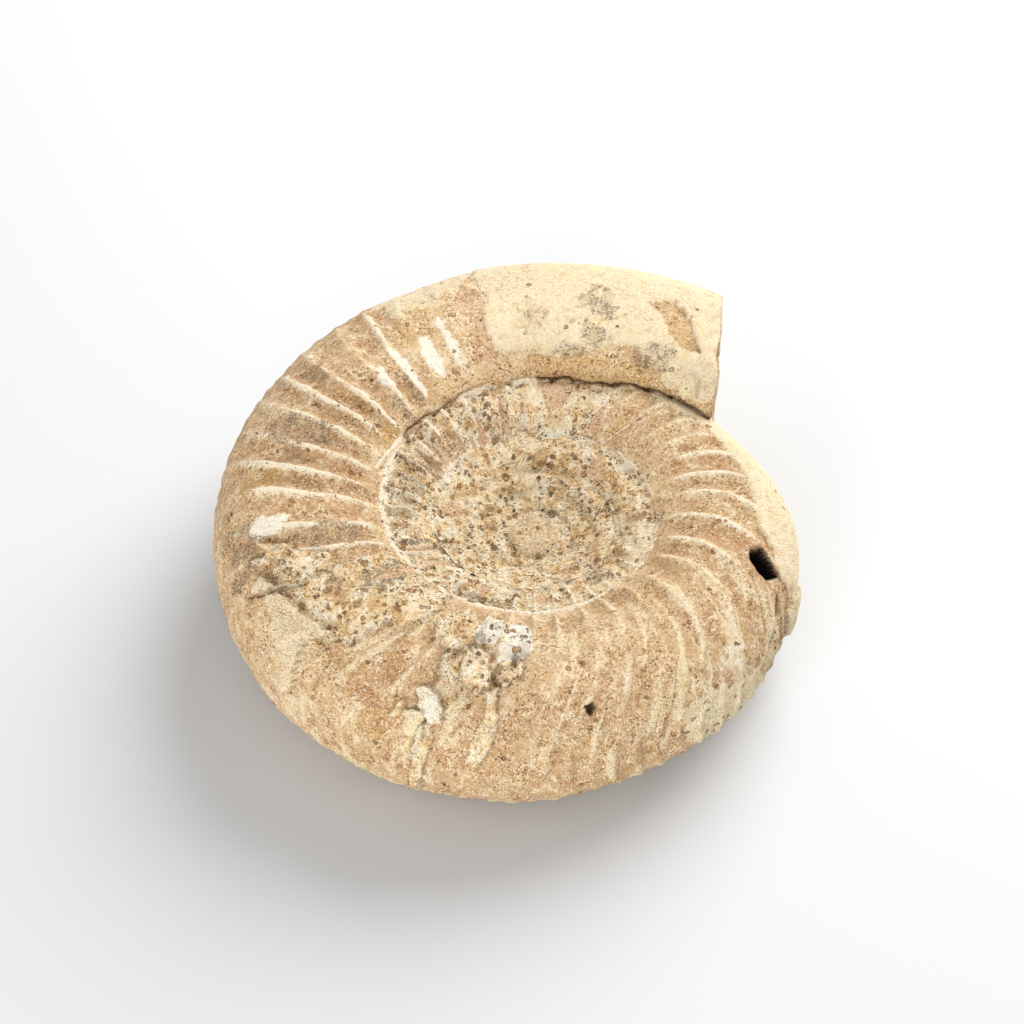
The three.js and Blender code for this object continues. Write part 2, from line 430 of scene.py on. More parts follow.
def close_nucleus(ids, rows, side):
    """The worn middle of the coil, a low dome."""
    last = len(ids) - 1
    outer_rows = rows[0]
    ring = ids[last - COLUMNS:last + 1, -1]
    end = ids[last, outer_rows + 1:-1][::-1]
    loop = np.concatenate([ring, end])
    points = point_places(loop)
    flat = points[:, :2]
    turn = np.arctan2(flat[:, 1], flat[:, 0])
    order = np.argsort(turn)
    middle = NUCLEUS_DOME * side

    def place(spots):
        at = np.arctan2(spots[:, 1], spots[:, 0])
        edge = np.interp(at, turn[order], np.hypot(*flat[order].T), period=2.0 * math.pi)
        height = np.interp(at, turn[order], points[order, 2], period=2.0 * math.pi)
        share = np.clip(np.hypot(*spots.T) / edge, 0.0, 1.0) ** 2
        return np.stack([spots[:, 0], spots[:, 1], height * share + middle * (1.0 - share)], 1)

    back = 360.0 * TURNS
    around = side * NUCLEUS_AROUND
    add_patch(loop, flat, NUCLEUS_GRAIN, 12, place, back, around, np.array([0.0, 0.0, side]))


first_back = seam_corner()
top_ids = side_of_coil(1, TOP_ROWS, None)
bottom_ids = side_of_coil(-1, BOTTOM_ROWS, top_ids[:COLUMNS + 1, 0])
mouth_start = count_points()
close_mouth(top_ids, bottom_ids)
nucleus_start = count_points()
close_nucleus(top_ids, TOP_ROWS, 1)
close_nucleus(bottom_ids, BOTTOM_ROWS, -1)

table = np.concatenate(mesh_rows)
points = table[:, :3].copy()
back, around, seam_gap, seam_back = table[:, 3:].T.copy()
faces = np.concatenate(mesh_faces)
on_break = np.zeros(len(points), bool)
on_break[mouth_start:nucleus_start] = True


def point_normals(points, faces):
    """The direction each point faces, from the faces around it."""
    corners = points[faces]
    normals = np.cross(corners[:, 1] - corners[:, 0], corners[:, 2] - corners[:, 0])
    total = np.zeros_like(points)
    for corner in range(3):
        for axis in range(3):
            total[:, axis] += np.bincount(faces[:, corner], normals[:, axis], len(points))
    return total / np.maximum(np.linalg.norm(total, axis=1, keepdims=True), 1e-12)


# ---- where things lie on the rock

# The last number given to noise, rough_noise and grain_bumps is its seed.
height_angle = np.abs(around)
out = (signed_power(np.cos(np.radians(around)), 2.0 / SECTION_POWER) + 1.0) / 2.0
coarse_edge = noise(points, 6.0 * MM, 21)
fine_edge = noise(points, 1.5 * MM, 22)
finest_edge = noise(points, 0.7 * MM, 23)
patchy = np.clip(0.72 + 0.5 * coarse_edge + 0.5 * fine_edge, 0.0, 1.0)
lumps = 0.28 * noise(points, 8.0 * MM, 31) + 0.13 * noise(points, 2.8 * MM, 32)
grit = 0.06 * noise(points, 1.0 * MM, 33)
relief = np.zeros(len(points))
PAINTS = ("crest", "brown_and_shade", "cream", "chalk", "crust", "grey", "ochre", "rose", "ooids", "shade")
ROUGH_PAINTS = ("crust", "ooids", "crest", "cream", "grey")
paint = {name: np.zeros(len(points)) for name in PAINTS}
MARK_ROUNDNESS = 2.6
MARK_EDGE = 0.12
LINE_END = 1.5


def lay(name, mask, strength=1.0):
    """Paints the rock where mask is 1, on top of weaker paint of the same name."""
    paint[name] = np.maximum(paint[name], mask * strength)


def clear(mask, *names):
    """Takes paints off where mask is 1."""
    for name in names:
        paint[name] *= 1.0 - mask


def lift(height, mask):
    """Moves the surface out by height in millimetres where mask is 1, or in if it is negative."""
    relief[:] += height * MM * mask


def put(mask, height=0.0, without=(), **paints):
    """A patch of its own: lifted by height, rid of some paints, and laid with others."""
    lift(height, mask)
    clear(mask, *without)
    for name, strength in paints.items():
        lay(name, mask, strength)


def curve(places, stops):
    """A value for each place, on straight lines between (place, value) stops."""
    return np.interp(places, [s[0] for s in stops], [s[1] for s in stops])


def mark(place, slant=0.0, ragged=0.3):
    """A ragged patch of the surface: 1 inside and 0 outside. Its place is back from and to, and
    around from and to. Slant is how many degrees back it leans for each degree around."""
    back_from, back_to, around_from, around_to = place
    middle = (around_from + around_to) / 2.0
    u = back - slant * (around - middle) - (back_from + back_to) / 2.0
    u = u / (back_to - back_from) * 2.0
    v = (around - middle) / (around_to - around_from) * 2.0
    reach = (np.abs(u) ** MARK_ROUNDNESS + np.abs(v) ** MARK_ROUNDNESS) ** (1.0 / MARK_ROUNDNESS)
    reach += ragged * (0.6 * coarse_edge + 0.5 * fine_edge)
    return fall(reach, 1.0 - MARK_EDGE, 1.0 + MARK_EDGE)


def shape(corners, ragged=0.3, edge=0.25, grow=0.0):
    """A patch with its own outline of (back, around) corners on the upper side: 1 inside and 0
    outside. Ragged, edge and grow are in millimetres."""
    outline = np.array(corners, float)
    middle = outline.mean(0)
    degree = math.radians(coil_radius(middle[0]))
    scale = np.array([0.85 * degree, HALF_HEIGHT * degree])
    spots = np.stack([back, around], 1) * scale
    outline = outline * scale
    margin = (ragged + edge + grow + 0.5) * MM
    near = np.all((spots > outline.min(0) - margin) & (spots < outline.max(0) + margin), axis=1)
    spots = spots[near]
    gap = np.full(len(spots), 1.0)
    for start, end in zip(outline, np.roll(outline, -1, axis=0)):
        way = end - start
        share = np.clip((spots - start) @ way / (way @ way), 0.0, 1.0)
        gap = np.minimum(gap, np.linalg.norm(spots - start - share[:, None] * way, axis=1))
    gap = np.where(inside_outline(spots, outline), gap, -gap) / MM + grow
    gap += ragged * (0.6 * coarse_edge[near] + 1.0 * fine_edge[near] + 0.8 * finest_edge[near])
    result = np.zeros(len(points))
    result[near] = rise(gap, -edge, edge)
    return result


def rim_of(patch, low=0.3, high=0.9):
    """The line along a patch's edge."""
    return rise(4.0 * patch * (1.0 - patch), low, high)


def line(stops, width):
    """A thin line over the surface through (back, around) stops, width in degrees back."""
    heights = np.array([stop[1] for stop in stops], float)
    backs = np.array([stop[0] for stop in stops], float)
    order = np.argsort(heights)
    at = np.interp(around, heights[order], backs[order]) + 0.8 * fine_edge + 0.5 * coarse_edge
    ends = rise(around, heights.min() - LINE_END, heights.min() + LINE_END)
    ends = ends * fall(around, heights.max() - LINE_END, heights.max() + LINE_END)
    return ends * np.exp(-((back - at) / width) ** 2)


# ---- ribs

# Degrees back of each rib's crest, and stops of (degrees back, value) for what changes along the
# coil. The height is a share of the coil's radius, widths are shares of the space between two ribs,
# and the sweep is how many degrees a rib leans forward from the axis to the outer edge.
RIB_CRESTS = [
    53, 62, 69, 76, 85, 92, 99, 107.5, 115.5, 123, 134, 142, 151, 163, 170, 179, 186, 194, 201,
    209, 217, 227, 236, 246, 256, 268, 278, 290, 301, 310, 319, 327, 335, 345,
]
INNER_RIB_SPACING = 9.0
INNER_RIBS = 160
RIB_HEIGHT = 0.021
RIB_MEAN = 0.75
CREST_WIDTH, FLANK_WIDTH = 0.12, 0.32
RIB_STRENGTH = [
    (44, 0.0), (53, 0.5), (80, 0.8), (85, 1.0), (135, 1.0), (150, 0.7), (170, 0.85), (200, 0.85),
    (215, 0.85), (262, 0.85), (275, 1.0), (320, 1.0), (345, 0.7), (360, 0.4), (392, 0.4),
    (400, 1.15), (485, 1.15), (510, 0.8), (620, 0.65), (700, 0.45), (900, 0.35), (1200, 0.0),
]
# Crests painted pale, partly as painted highlight; hollows brown, partly as painted shade.
CREST_AND_HIGHLIGHT_PAINT = [
    (50, 0.8), (85, 1.0), (150, 1.0), (172, 0.75), (190, 0.45), (262, 0.45), (290, 0.8), (345, 0.8),
    (400, 1.0),
]
BROWN_AND_SHADE_PAINT = [(160, 1.0), (180, 0.8), (262, 0.8), (278, 1.0)]
RIB_SWEEP = [(0, 9), (120, 9), (150, 11), (250, 12), (285, 19), (310, 13), (360, 10)]

# The smooth edge at the right: where it starts, and how far around the tube it reaches.
COVERED_START, COVERED_WANDER = 281.0, 3.5
COVERED_EDGE = [(281, 40), (290, 62), (300, 68), (313, 69), (330, 75), (340, 79), (360, 80)]

STREAK_WIDTH, STREAK_LENGTH = 2.1, 34.0
STREAK_HEIGHT = 0.12 * MM

swept = back + curve(back, RIB_SWEEP) * (out ** 3 - 0.125)


def once_covered():
    """The smooth outer edge that the next turn covered before it broke off: 1 there."""
    wander = COVERED_WANDER * rough_noise(points, 9.0 * MM, 96)
    start = COVERED_START + wander * fall(around, 10.0, 35.0)
    depth = curve(back, COVERED_EDGE) - height_angle + 3.0 * coarse_edge
    depth = np.minimum(depth, 5.0 * (back - start))
    depth = np.where(back < OUTER_TURN_END, depth, -9.0)
    return rise(depth, -3.0, 3.0)


covered = once_covered()


def rib_wave(number):
    """A thin crest at each whole number and a broad hollow between: 1 to 0."""
    off = number - np.round(number)
    crest = 0.55 * np.exp(-(off / CREST_WIDTH) ** 2)
    return crest + 0.45 * np.exp(-(off / FLANK_WIDTH) ** 2), off


def rib_strength():
    """How strongly the ribs stand out: less where they are worn, and not at all where covered."""
    strength = curve(back, RIB_STRENGTH)
    strength *= rise(out, 0.06, 0.26)
    edge_wear = np.where(back < 165.0, 0.6, 0.15) * rise(out, 0.72, 0.95)
    strength *= (1.0 - edge_wear) * np.clip(0.9 + 0.45 * coarse_edge, 0.3, 1.2)
    strength *= 1.0 - covered
    strength[on_break] = 0.0
    return strength


def add_ribs():
    """Ribs that lean forward and split in two near the outer edge, with pale crests."""
    crests = RIB_CRESTS + [RIB_CRESTS[-1] + INNER_RIB_SPACING * k for k in range(1, INNER_RIBS)]
    number = np.interp(swept, crests, np.arange(len(crests)))
    number = number + 0.07 * coarse_edge + 0.03 * fine_edge
    main_rib, off = rib_wave(number)
    split_rib, _ = rib_wave(2.0 * number)
    split = rise(out, 0.8, 0.93)
    wave = main_rib * (1.0 - split) + 0.5 * split_rib * split
    strength = rib_strength()
    radius = coil_radius(np.maximum(back, 0.0))
    relief[:] += RIB_HEIGHT * radius * strength * (wave - RIB_MEAN)
    # Pale crest lines: partly the rock's own paler colour, partly a painted highlight.
    crest = np.exp(-(off / CREST_WIDTH) ** 2) * (1.0 - 0.5 * split)
    lay("crest", crest * np.clip(1.1 * strength, 0.0, 1.0) * patchy * curve(back, CREST_AND_HIGHLIGHT_PAINT))
    # Brown hollows between ribs: partly the rock's own colour, partly painted shade.
    brown_and_shade = np.clip(1.15 - 1.3 * wave, 0.0, 1.0) * np.clip(1.2 * strength, 0.0, 1.0)
    lay("brown_and_shade", brown_and_shade * curve(back, BROWN_AND_SHADE_PAINT))


def add_streaks():
    """Pale and brown streaks that run along the ribs on the outer part of the flank."""
    along_ribs = np.stack([swept / STREAK_WIDTH, around / STREAK_LENGTH, 0.0 * back], 1)
    streaks = rough_noise(along_ribs, 1.0, 71)
    here = rise(back, 140.0, 165.0) * fall(back, 268.0, 285.0)
    here *= 1.0 - on_break
    here *= 1.0 - 0.6 * rise(height_angle, 85.0, 110.0)
    pale_side = rise(back, 215.0, 245.0)
    lay("cream", rise(streaks + 0.3 * pale_side, 0.35, 0.8) * here, 0.58)
    lay("brown_and_shade", rise(-streaks, 0.2, 0.8) * here * (1.0 - 0.4 * pale_side), 0.8)
    relief[:] += STREAK_HEIGHT * streaks * here


# ---- coat and stains

# In the tables below, places are (back, around) in degrees, and heights and depths are in
# millimetres.
COAT_EDGE = [
    (-40, 139), (-18, 138), (-12, 133), (-4, 120), (2, 112), (8, 114), (14, 118), (24, 124),
    (34, 124), (41, 118),
]
COAT_START, COAT_WANDER = 42.0, 9.0
COAT_HEIGHT, FLAKE_DEPTH = 0.35, 0.45
FLAKE = [
    (3.6, 85), (-2.2, 92), (-6, 100), (-11, 106.5), (-15.5, 104), (-11, 93), (-7, 86), (-1, 78),
]
HAIR_CRACK = [(-22, 136), (-20, 128), (-17, 118)]

# Stains by paint and raggedness: each with its place for mark() and its strength.
STAINS = [
    ("crust", 0.8, [(43, 62, 50, 78, 0.5)]),
    ("cream", 0.9, [(42, 62, 40, 72, 0.8)]),
    ("ochre", 0.4, [
        (-14, 34, 122, 140, 0.6), (86, 95, 121, 136, 1.0), (62, 64, 80, 98, 0.9),
        (66.5, 68, 66, 90, 0.8), (84, 90, 88, 112, 0.5), (114, 121, 54, 82, 0.8),
        (164, 176, 44, 62, 0.5), (176, 182, 8, 35, 0.6), (346, 352, 108, 125, 0.7),
        (206, 209, 110, 116, 0.7), (268, 300, 122, 140, 0.4), (232, 262, 62, 122, 0.35),
    ]),
    ("rose", 0.8, [(22, 29, 74, 88, 0.45)]),
    ("rose", 0.9, [(-12, 2, 62, 74, 0.35), (28, 36, 98, 112, 0.4)]),
    ("rose", 0.35, [(41.5, 48.5, 76, 126, 0.6)]),
    ("grey", 1.2, [(26, 34, 94, 110, 0.42)]),
    ("grey", 0.9, [(-12, 0, 108, 126, 0.5)]),
    ("grey", 0.8, [
        (10, 26, 114, 128, 0.45), (70.5, 73, 110, 133, 0.9), (77.8, 80.6, 116, 138, 1.0),
        (98.5, 106.7, 68, 106, 0.8), (107.5, 113, 79, 91, 0.9), (127, 131, 30, 55, 0.6),
        (131.5, 134.5, 32, 58, 0.8), (135.5, 140, 30, 60, 0.7), (134, 142, 84, 120, 0.6),
        (152.5, 164, 88, 125, 0.7), (84, 88, 62, 80, 0.6), (236, 247, 112, 130, 0.4),
        (288, 303, 134, 148, 0.5), (264, 268, 108, 122, 0.5),
    ]),
    ("chalk", 0.9, [
        (52.5, 55, 95, 128, 0.85), (59, 62.5, 100, 124, 0.85), (67.8, 70.6, 98, 126, 0.85),
        (74.5, 78.5, 99, 112, 0.85), (128, 132.5, 60, 83, 0.85), (202, 209, 86, 108, 0.85),
        (194, 201, 92, 116, 0.85),
    ]),
]
# Stains with an outline of their own: paint, raggedness in millimetres, strength and corners.
SHAPED_STAINS = [
    ("ochre", 0.7, 0.8, [(2, 99), (7, 103), (6, 108), (-1, 106), (-4, 100)]),
    ("grey", 1.4, 0.8, [(21, 86), (14, 86), (8, 98), (11, 103), (18, 93)]),
    ("grey", 1.4, 0.65, [(19, 103), (14, 101), (7, 112), (10, 116), (17, 108)]),
]


def paint_inner_turns():
    """Grains and crust on the turns inside the last one, with pale and rosy patches."""
    inner = rise(back, 352.0, 366.0) * (1.0 - covered)
    lay("ooids", inner, 0.9)
    lay("ooids", 0.12)
    lay("crust", inner * np.clip(0.8 + 0.5 * coarse_edge, 0.0, 1.0))
    patches = rough_noise(points, 5.5 * MM, 81)
    lay("cream", inner * rise(patches, 0.45, 0.75), 0.5)
    lay("rose", inner * rise(-patches, 0.6, 0.8), 0.6)
    paint["ooids"] *= 1.0 - 0.7 * inner * rise(patches, 0.3, 0.6)


def add_coat():
    """The pale smooth coat over the last part of the tube, and the edge that was once covered."""
    depth = (curve(back, COAT_EDGE) - height_angle) * 0.3 + 1.3 * coarse_edge + 0.9 * fine_edge
    wander = COAT_WANDER * rough_noise(points, 16.0 * MM, 95)
    wander = wander * fall(around, 45.0, 85.0)
    depth = np.minimum(depth, COAT_START - back + wander + 1.5 * coarse_edge + 1.2 * fine_edge)
    coat = np.where(on_break, 0.0, rise(depth + 0.5 * finest_edge, -0.25, 0.35))
    flake = shape(FLAKE)
    coat *= 1.0 - flake
    lay("cream", coat * np.clip(0.9 + 0.35 * coarse_edge + 0.2 * fine_edge, 0.3, 1.0))
    # The once-covered edge painted pale: smooth there, and partly a painted highlight.
    lay("cream", covered, 0.95)
    relief[:] += (COAT_HEIGHT * coat - FLAKE_DEPTH * flake) * MM
    lay("ochre", flake, 0.5)
    # Painted shade in a hairline crack across the coat.
    lay("shade", line(HAIR_CRACK, 0.4), 0.6)


def add_stains():
    for name, ragged, places in STAINS:
        for *place, strength in places:
            lay(name, mark(place, ragged=ragged), strength)
    for name, ragged, strength, corners in SHAPED_STAINS:
        lay(name, shape(corners, ragged=ragged), strength)


# ---- crusts and plates

# Crusts of grains on the flank at the lower left: height and corners.
CRUSTS = [
    (1.2, [(135, 60), (136.4, 73), (140.5, 79), (142, 71), (138.5, 61)]),
    (1.1, [(142, 63), (141.2, 78), (144.2, 91), (148.3, 89), (150.3, 76), (148, 66), (144.6, 61)]),
    (1.1, [
        (147.5, 57), (150, 72), (150, 96), (150, 128), (168, 130), (180, 124), (181, 106), (177, 88),
        (171, 85), (170.5, 78), (168.5, 62), (164, 55), (158.5, 54), (152, 54),
    ]),
    (1.8, [
        (180, 99), (183.9, 107.5), (191.7, 110), (195, 103), (195.3, 88), (189.2, 84), (185.9, 88),
    ]),
    (0.8, [(188, 84), (193, 86), (194.5, 70), (190.8, 66), (188.5, 72)]),
    (1.9, [(193.5, 86), (199.4, 86.5), (200.9, 76), (200.7, 65), (197, 62), (194.3, 67)]),
    (1.8, [(201.9, 85.5), (207.2, 86.5), (208.2, 76), (207.6, 69), (203.5, 68), (201.6, 74)]),
    (0.7, [(195.5, 112), (208, 113), (210, 96), (209, 88), (201, 86), (196, 92)]),
]
# Thin pale crusts at the lower right: how grainy, how pale, and corners.
THIN_CRUSTS = [
    (0.7, 0.8, [
        (240, 14), (245.7, 24), (253, 18), (262, 8), (266, -6), (262, -16), (251, -29), (243, -6),
    ]),
    (0.35, 0.35, [(262, 10), (267, 22), (272, 22), (273, 6), (268, -4)]),
]
THIN_CRUST_HEIGHT = 0.4

# Whitish spots and a pit on the crusts, and brown hollows beside them.
CRUST_CHALK = [
    [(197, 112), (201, 113), (201.5, 98), (198, 96)],
    [(203, 106), (208.5, 108), (210, 90), (205, 88)],
]
CRUST_PIT = [(204.4, 86), (206.6, 85), (206, 78), (204.6, 79)]
CRUST_PIT_DEPTH = 1.2
BROWN_HOLLOWS = [(164, 170, 50, 72), (172, 181, 36, 86), (192, 197, 20, 62), (158, 163, 62, 70)]

# Peeled plates and slabs, smooth, thin and sharp-edged: paint, height and corners.
PLATES = [
    ("rose", 1.6, [
        (146.7, 50), (148.3, 57.4), (152.4, 60), (156.5, 60), (160.2, 62.5), (164.5, 62.5),
        (163, 57), (161, 51), (160.2, 42), (161.5, 30), (161.4, 16), (159.7, 6), (158.6, 14),
        (158.6, 26), (156.5, 32), (153.6, 34.6), (151.6, 38), (152, 43.5), (149.5, 44.4), (147.5, 48),
    ]),
    ("cream", 1.65, [
        (185.5, 56), (187.2, 58.5), (190.4, 55), (192.1, 48), (192.3, 38), (190, 37), (187.6, 46),
    ]),
    ("cream", 1.2, [
        (184.7, 41), (188.6, 43.5), (189.4, 33), (189.2, 26), (185.9, 24.5), (185.2, 32),
    ]),
    ("crust", 1.0, [(181.6, 32), (183.4, 45.5), (185, 44), (183.6, 32)]),
    ("crust", 1.3, [
        (188.4, 36), (190.6, 36), (191, 18), (189.6, 4), (188.4, -20), (186, -20), (187.6, 6),
        (188.2, 22),
    ]),
    ("crust", 0.8, [
        (200.6, 66), (202.6, 67), (203, 45), (202, 25), (199.6, 7), (197.2, 8), (198.6, 30),
        (200.4, 48),
    ]),
    ("cream", 1.3, [(142.4, 42), (142, 53), (145.4, 56), (146.2, 50), (144.6, 47), (144.4, 40)]),
    ("cream", 0.8, [
        (277.5, 9), (281, 13), (286, 9), (288, -4), (285.5, -17), (280.5, -19), (277.5, -6),
    ]),
]
CHALKY_PLATE_HEIGHT = 1.6

# Smooth bands of shell between the crusts, a thin stick across the ribs, and a whitish spot.
SHELL_BANDS = [(146.6, 150.2, 93, 132), (158.6, 162.4, 98, 136)]
SHELL_BAND_HEIGHT = 0.3
STICK = [(106, 130), (96, 134.2), (87, 136.6), (87, 138.8), (96, 137), (106, 132.8)]
STICK_HEIGHT = 0.35
CHALKY_SPOT = (248, 262, 26, 46)


def add_crusts():
    """Crusts of grains, each proud of the shell, with painted shade along its edge."""
    for height, corners in CRUSTS:
        patch = shape(corners, ragged=0.6, edge=0.35)
        crusted = relief * (1.0 - patch) + patch * (height * MM + 0.5 * relief)
        relief[:] = np.maximum(relief, crusted)
        put(patch, without=("cream", "brown_and_shade", "crest"), crust=1.0, ooids=0.95)
        # Painted shade along the crust's edge, darker for taller crusts.
        lay("shade", rim_of(patch), 0.34 * height)
    for grainy, pale, corners in THIN_CRUSTS:
        patch = shape(corners, ragged=1.0)
        put(patch, THIN_CRUST_HEIGHT, cream=pale, ooids=grainy, crust=0.35)
    for corners in CRUST_CHALK:
        lay("chalk", shape(corners, ragged=1.1), 0.6)
    # A pit with painted shade in it.
    put(shape(CRUST_PIT), -CRUST_PIT_DEPTH, shade=0.7)
    for place in BROWN_HOLLOWS:
        lay("brown_and_shade", mark(place, slant=0.06, ragged=0.5))


def add_plates():
    for name, height, corners in PLATES:
        patch = shape(corners, ragged=0.3, edge=0.2)
        put(patch, height, ("crest", "brown_and_shade", "crust", "ooids"), **{name: 1.0})
        # Painted shade along the plate's edge.
        lay("shade", rim_of(patch), 0.42)
        if name == "rose":
            lay("cream", patch, 0.5)
        if height > CHALKY_PLATE_HEIGHT:
            lay("chalk", patch, 0.55)
    for place in SHELL_BANDS:
        put(mark(place, slant=0.03, ragged=0.4), SHELL_BAND_HEIGHT, ROUGH_PAINTS, rose=0.8)


def add_stick():
    put(shape(STICK, ragged=0.1), STICK_HEIGHT, crest=1.0)


# ---- details of the inner turns

# Patches by paint, each as a place for mark().
INNER_PATCHES = [
    ("ochre", [
        (735, 741, 118, 150), (1040, 1075, 95, 125), (668, 702, 102, 126), (376, 385, 116, 134),
    ]),
    ("grey", [
        (452, 456, 98, 130), (459, 464, 98, 132), (468, 471, 96, 126), (407, 412, 118, 140),
        (477, 480, 96, 126), (600, 614, 108, 130), (535, 562, 92, 106), (1245, 1275, 120, 150),
        (498, 502, 100, 125),
    ]),
    ("chalk", [(735, 750, 84, 100), (790, 812, 84, 100), (640, 652, 86, 100), (392, 397, 120, 142)]),
    ("rose", [
        (512, 516, 100, 126), (523, 527, 98, 124), (541, 546, 106, 130), (571, 577, 104, 128),
        (626, 632, 112, 138), (655, 661, 106, 132), (700, 712, 108, 136), (820, 836, 104, 136),
    ]),
]
WORN_RIB_DEPTH = 0.25

# Smooth worn ribs like teeth round the umbilicus: back and around of the tip, width of the foot,
# and how far back it swings. All feet reach as far around.
TEETH = [
    (403.5, 100, 3.5, 1), (415.5, 112, 6, 2), (422, 124, 3.5, 1), (428.5, 113, 5, 1),
    (436, 103, 4, 1), (441.5, 102, 4, 1), (447, 102, 4, 1), (452.5, 103, 3, 1), (361, 106, 8, 0),
    (343, 101, 9, 6), (505, 100, 5, 2), (516, 98, 5, 2), (395, 110, 4, 0),
]
TOOTH_FOOT = 148
TIP_HALF_WIDTH = 0.8
FOOT_HALF_WIDTH = 0.7
TOOTH_DEPTH = 0.35
BARE_SHELL = [(388, 94), (374, 93), (377.8, 119), (384, 120)]
ROD = (741, 750, 117, 141)
ROD_HEIGHT = 0.7
NUCLEUS_RADIUS, NUCLEUS_HEIGHT = 4.4 * MM, 0.5


def add_inner_patches():
    """Flanks of ribs that show between the crusts, the rosy ones smooth and worn down."""
    for name, places in INNER_PATCHES:
        for place in places:
            patch = mark(place, ragged=0.35)
            if name == "rose":
                put(patch, -WORN_RIB_DEPTH, ("crust", "ooids", "crest"))
            lay(name, patch, 0.5 if name == "chalk" else 0.8)


def add_teeth():
    for tip, top, width, swing in TEETH:
        foot = tip + swing
        half = width * FOOT_HALF_WIDTH
        tooth = shape([
            (tip - TIP_HALF_WIDTH, top), (tip + TIP_HALF_WIDTH, top),
            (foot + half, TOOTH_FOOT), (foot - half, TOOTH_FOOT),
        ], ragged=0.2)
        put(tooth, -TOOTH_DEPTH, ROUGH_PAINTS, rose=0.9)
        lay("crest", rim_of(tooth, 0.2, 0.8), 0.9)


def add_bare_shell_and_rod():
    put(shape(BARE_SHELL, ragged=0.3), 0.0, ROUGH_PAINTS, rose=1.0)
    put(mark(ROD, slant=0.1, ragged=0.15), ROD_HEIGHT, ("cream", "crust"), ochre=0.8)


def add_nucleus():
    """The smooth worn middle of the coil."""
    reach = np.hypot(points[:, 0], points[:, 1]) / NUCLEUS_RADIUS + 0.25 * coarse_edge
    dome = fall(reach, 0.85, 1.1) * ~on_break
    cleared = ("crust", "cream", "rose", "ooids")
    put(dome, NUCLEUS_HEIGHT, cleared, ochre=0.4, cream=0.35, ooids=0.25)


# ---- holes, cracks and the seam

HOLE = [
    (282.4, 67.5), (283.6, 62), (282.2, 55), (281.6, 48), (280.6, 40.5), (277.6, 49), (278.2, 59),
    (280, 66),
]
HOLE_DEPTH, HOLE_SLOPE = 5.5, 0.45
SMALL_HOLE = [(221.2, 49.5), (222.7, 50), (223, 46), (222.1, 41.5), (221.4, 45)]
SMALL_HOLE_DEPTH = 1.5

# Cracks: depth, width in degrees, and stops.
CRACKS = [
    (0.9, 0.5, [(271, 18), (274, 24), (277, 33)]),
    (0.9, 0.5, [(265, 8), (268, 16), (270, 20)]),
    (0.7, 0.3, [(142.6, 34), (145.4, 43), (146.4, 54), (147.5, 63)]),
]

# How far the seam between turns is open, along the coil. Beyond, a pale line fills it.
SEAM_OPEN = [
    (-30, 0.3), (-23, 0.6), (-12, 1.0), (4, 1.0), (12, 0.6), (20, 1.0), (26, 0.8), (30, 0.15),
    (38, 0.3), (44, 0.1), (54, 0.2), (62, 0.55), (82, 0.5), (90, 0.0),
]
UNDERSIDE_SEAM_OPEN = 0.3
SEAM_DEPTH, SEAM_HALF_WIDTH = 1.4, 0.8
LIP_HEIGHT = 0.7
LEDGE_HEIGHT = 0.5


def near_to(gap, width):
    """1 where gap is 0, less away from it, and next to nothing two widths away."""
    return np.exp(-(gap / width) ** 2)


def add_holes():
    lift(-HOLE_DEPTH, shape(HOLE, ragged=0.12, edge=HOLE_SLOPE))
    # Painted shade in the hole, nearly black, reaching a little past its rim.
    lay("shade", shape(HOLE, ragged=0.12, grow=0.45))
    # Painted shade in the small hole and the cracks.
    put(shape(SMALL_HOLE, ragged=0.3), -SMALL_HOLE_DEPTH, shade=0.82)
    for depth, width, stops in CRACKS:
        put(line(stops, width), -depth, shade=0.7)


def add_seam():
    """The seam between turns: open under the last part of the tube, elsewhere filled."""
    opened = curve(seam_back, SEAM_OPEN)
    opened = np.where(around < 0.0, UNDERSIDE_SEAM_OPEN * (seam_back < 300.0), opened)
    opened = np.clip(opened * (1.0 + 0.5 * coarse_edge), 0.0, 1.0)
    wall_side = around > 110.0
    wander = 2.2 * np.clip(coarse_edge + 0.7 * fine_edge, -1.0, 1.0) + 0.8 * finest_edge
    crack_gap = np.where(wall_side, seam_gap, -seam_gap) - wander - 1.0
    relief[:] -= SEAM_DEPTH * MM * opened * near_to(crack_gap, SEAM_HALF_WIDTH)
    # Painted shade in the open crack.
    lay("shade", opened * near_to(crack_gap, 0.48))
    # Browner and darker on the wall above the crack, where it turns under: painted shade.
    lay("brown_and_shade", wall_side * opened * near_to(seam_gap, 9.0), 0.9)
    lay("shade", wall_side * opened * near_to(seam_gap, 4.5), 0.35)
    lift(LIP_HEIGHT, wall_side * opened * near_to(seam_gap - 7.0, 4.5))
    ledge = (1.0 - opened) * near_to(seam_gap, 2.2) * (seam_back < 700.0)
    lay("crest", ledge * patchy, 0.95)
    lift(LEDGE_HEIGHT, ledge * (seam_back > 60.0))
    rim = near_to(seam_gap, 3.2) * rise(seam_back, 88.0, 96.0)
    rim = rim * fall(seam_back, 230.0, 260.0)
    lay("crest", rim * np.clip(1.05 + 0.4 * fine_edge + 0.3 * coarse_edge, 0.0, 1.0))


# ---- grain and the broken mouth

GRAIN_SIZE, LONE_GRAIN_SIZE = 1.4 * MM, 2.4 * MM
BUMP_HEIGHT = 0.4 * MM
MOUTH_WALL_START, MOUTH_WALL_EDGE = 0.9, 0.925


